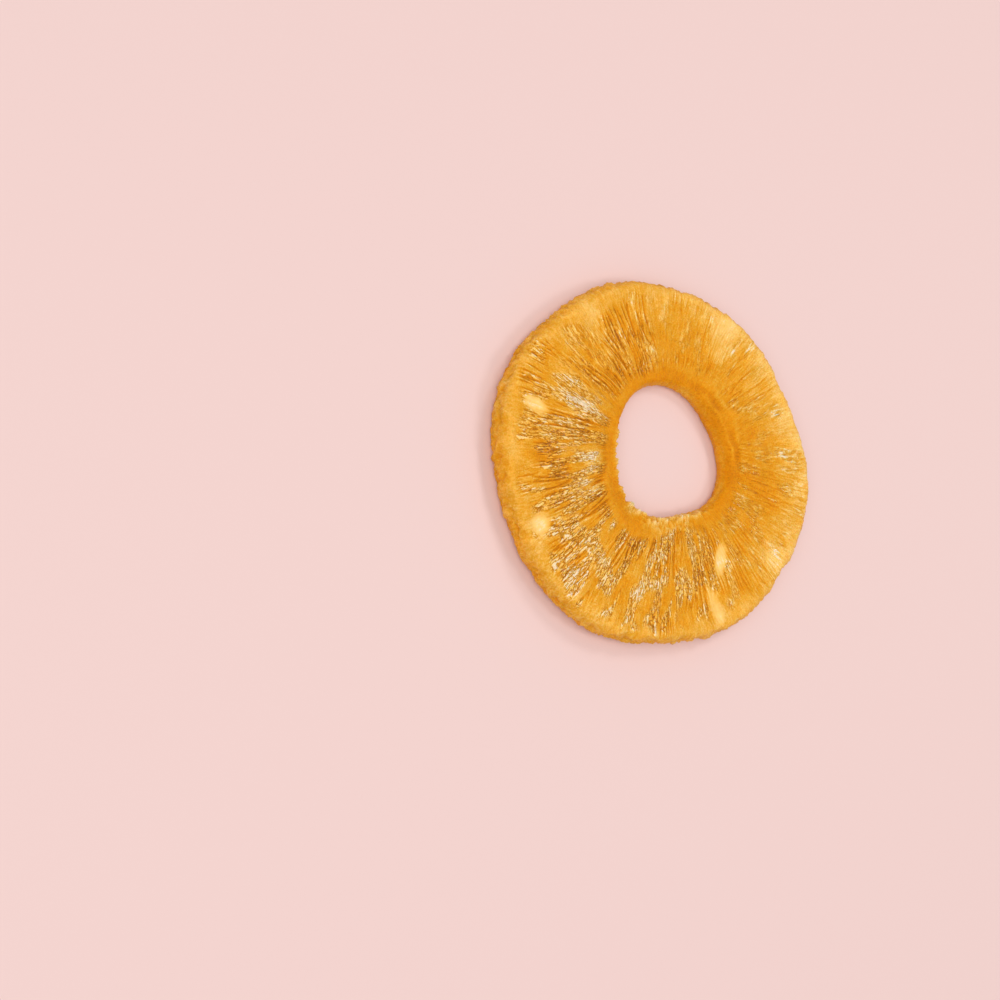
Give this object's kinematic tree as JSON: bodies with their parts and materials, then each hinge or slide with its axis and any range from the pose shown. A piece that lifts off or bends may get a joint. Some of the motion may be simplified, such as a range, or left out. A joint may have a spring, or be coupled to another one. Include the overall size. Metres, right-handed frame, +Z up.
{
  "type": "candied pineapple ring",
  "caption": "Flat ring of candied fruit with a round core hole, radial fibres and eye pits on its cut face, and a fluted rim.",
  "frame": {"origin": "middle of the ring's own box, on the surface that it lies on", "axes": "+Z up through the core hole, out of the cut face that the picture shows; +X to the picture's right and +Y to its top, in the plane of the ring"},
  "size_m": [0.0822, 0.0766, 0.006],
  "materials": {
    "candied_flesh": "glossy translucent golden fruit flesh soaked in syrup, paler at the eyes and the rim, deeper orange round the core hole"
  },
  "bodies": {
    "root": {"pineapple_ring": "candied_flesh"}
  },
  "joints": []
}
